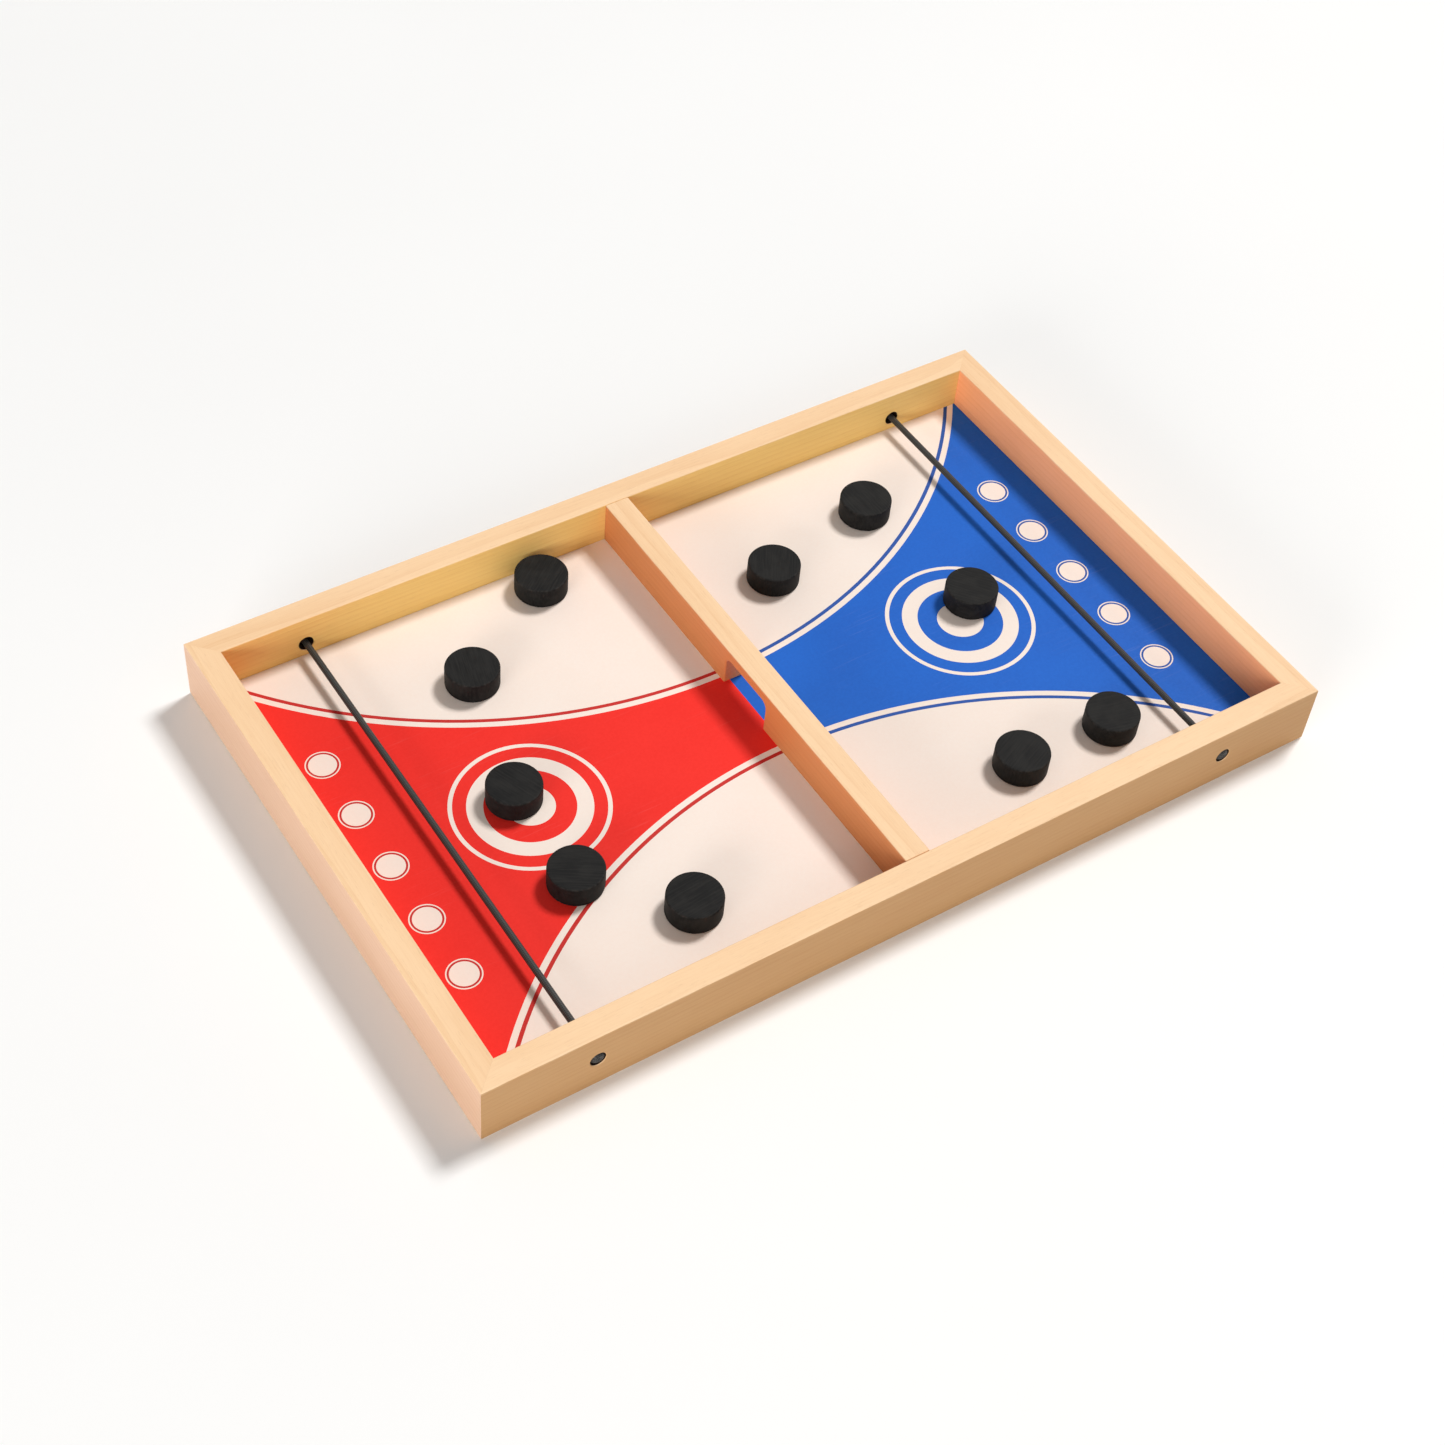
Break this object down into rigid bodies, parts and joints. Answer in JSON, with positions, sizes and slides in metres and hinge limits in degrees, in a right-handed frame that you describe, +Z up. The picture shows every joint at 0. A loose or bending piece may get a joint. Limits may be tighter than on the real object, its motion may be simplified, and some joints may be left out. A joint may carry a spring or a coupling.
{
  "type": "sling puck game",
  "caption": "Shallow wooden tray game: a divider with a low gate, an elastic sling across each end, and loose round pucks to shoot through the gate.",
  "frame": {"origin": "middle of the tray's underside, on the surface it stands on", "axes": "+X along the tray from the red half to the blue half, +Y across it towards the back rail, +Z up"},
  "size_m": [0.35, 0.22, 0.026],
  "materials": {
    "rail_wood": "pale softwood, sanded, clear matt lacquer",
    "divider_wood": "pale softwood, sanded, clear matt lacquer",
    "hardboard": "bare hardboard underside",
    "printed_sheet": "printed sheet with a satin film: cream, red and blue court",
    "steel": "zinc plated",
    "elastic": "black elastic cord with a woven cover",
    "cord_knot": "black elastic cord, knotted and trimmed",
    "puck": "black stained wood, matt"
  },
  "bodies": {
    "tray": {"front_rail": "rail_wood", "back_rail": "rail_wood", "left_end_rail": "rail_wood", "right_end_rail": "rail_wood", "centre_divider": "divider_wood", "base_panel": "hardboard", "court_sheet": "printed_sheet", "divider_screw_1": "steel", "divider_screw_2": "steel", "divider_screw_3": "steel", "divider_screw_4": "steel", "left_back_corner_nail": "steel", "left_front_corner_nail": "steel", "right_back_corner_nail": "steel", "right_front_corner_nail": "steel", "left_sling_back_stop": "cord_knot", "left_sling_front_stop": "cord_knot", "right_sling_back_stop": "cord_knot", "right_sling_front_stop": "cord_knot"},
    "left_sling": {"left_sling_middle": "elastic"},
    "left_sling_back": {"left_sling_back_run": "elastic"},
    "left_sling_front": {"left_sling_front_run": "elastic"},
    "right_sling": {"right_sling_middle": "elastic"},
    "right_sling_back": {"right_sling_back_run": "elastic"},
    "right_sling_front": {"right_sling_front_run": "elastic"},
    "red_puck_1": {"red_half_puck_1": "puck"},
    "red_puck_2": {"red_half_puck_2": "puck"},
    "red_puck_3": {"red_half_puck_3": "puck"},
    "red_puck_4": {"red_half_puck_4": "puck"},
    "red_puck_5": {"red_half_puck_5": "puck"},
    "blue_puck_1": {"blue_half_puck_1": "puck"},
    "blue_puck_2": {"blue_half_puck_2": "puck"},
    "blue_puck_3": {"blue_half_puck_3": "puck"},
    "blue_puck_4": {"blue_half_puck_4": "puck"},
    "blue_puck_5": {"blue_half_puck_5": "puck"}
  },
  "joints": [
    {"name": "left_sling_draw", "type": "slide", "parent": "tray", "child": "left_sling", "axis": [-1, 0, 0], "range_m": [0, 0.026], "stiffness_N_per_m": 180},
    {"name": "left_sling_back_swing", "type": "hinge", "parent": "left_sling", "child": "left_sling_back", "pos_m": [-0.132, 0.01, 0.0135], "axis": [0, 0, 1], "range_deg": [-16.2, 0]},
    {"name": "left_sling_front_swing", "type": "hinge", "parent": "left_sling", "child": "left_sling_front", "pos_m": [-0.132, -0.01, 0.0135], "axis": [0, 0, 1], "range_deg": [0, 16.2]},
    {"name": "right_sling_draw", "type": "slide", "parent": "tray", "child": "right_sling", "axis": [1, 0, 0], "range_m": [0, 0.026], "stiffness_N_per_m": 180},
    {"name": "right_sling_back_swing", "type": "hinge", "parent": "right_sling", "child": "right_sling_back", "pos_m": [0.132, 0.01, 0.0135], "axis": [0, 0, 1], "range_deg": [0, 16.2]},
    {"name": "right_sling_front_swing", "type": "hinge", "parent": "right_sling", "child": "right_sling_front", "pos_m": [0.132, -0.01, 0.0135], "axis": [0, 0, 1], "range_deg": [-16.2, 0]},
    {"name": "red_puck_1_slide", "type": "slide", "parent": "tray", "child": "red_puck_1", "axis": [1, 0, 0], "range_m": [-0.08, 0.024]},
    {"name": "red_puck_2_slide", "type": "slide", "parent": "tray", "child": "red_puck_2", "axis": [1, 0, 0], "range_m": [-0.034, 0.07]},
    {"name": "red_puck_3_slide", "type": "slide", "parent": "tray", "child": "red_puck_3", "axis": [1, 0, 0], "range_m": [-0.02, 0.119]},
    {"name": "red_puck_4_slide", "type": "slide", "parent": "tray", "child": "red_puck_4", "axis": [1, 0, 0], "range_m": [-0.02, 0.084]},
    {"name": "red_puck_5_slide", "type": "slide", "parent": "tray", "child": "red_puck_5", "axis": [1, 0, 0], "range_m": [-0.049, 0.055]},
    {"name": "blue_puck_1_slide", "type": "slide", "parent": "tray", "child": "blue_puck_1", "axis": [1, 0, 0], "range_m": [-0.025, 0.021]},
    {"name": "blue_puck_2_slide", "type": "slide", "parent": "tray", "child": "blue_puck_2", "axis": [1, 0, 0], "range_m": [-0.014, 0.027]},
    {"name": "blue_puck_3_slide", "type": "slide", "parent": "tray", "child": "blue_puck_3", "axis": [1, 0, 0], "range_m": [-0.059, 0.019]},
    {"name": "blue_puck_4_slide", "type": "slide", "parent": "tray", "child": "blue_puck_4", "axis": [0, 1, 0], "range_m": [-0.014, 0.056]},
    {"name": "blue_puck_5_slide", "type": "slide", "parent": "tray", "child": "blue_puck_5", "axis": [1, 0, 0], "range_m": [-0.051, 0.02]}
  ],
  "couplings": [
    {"joint": "left_sling_back_swing", "follows": "left_sling_draw", "rad_per_m": -10.817},
    {"joint": "left_sling_front_swing", "follows": "left_sling_draw", "rad_per_m": 10.817},
    {"joint": "right_sling_back_swing", "follows": "right_sling_draw", "rad_per_m": 10.817},
    {"joint": "right_sling_front_swing", "follows": "right_sling_draw", "rad_per_m": -10.817}
  ]
}
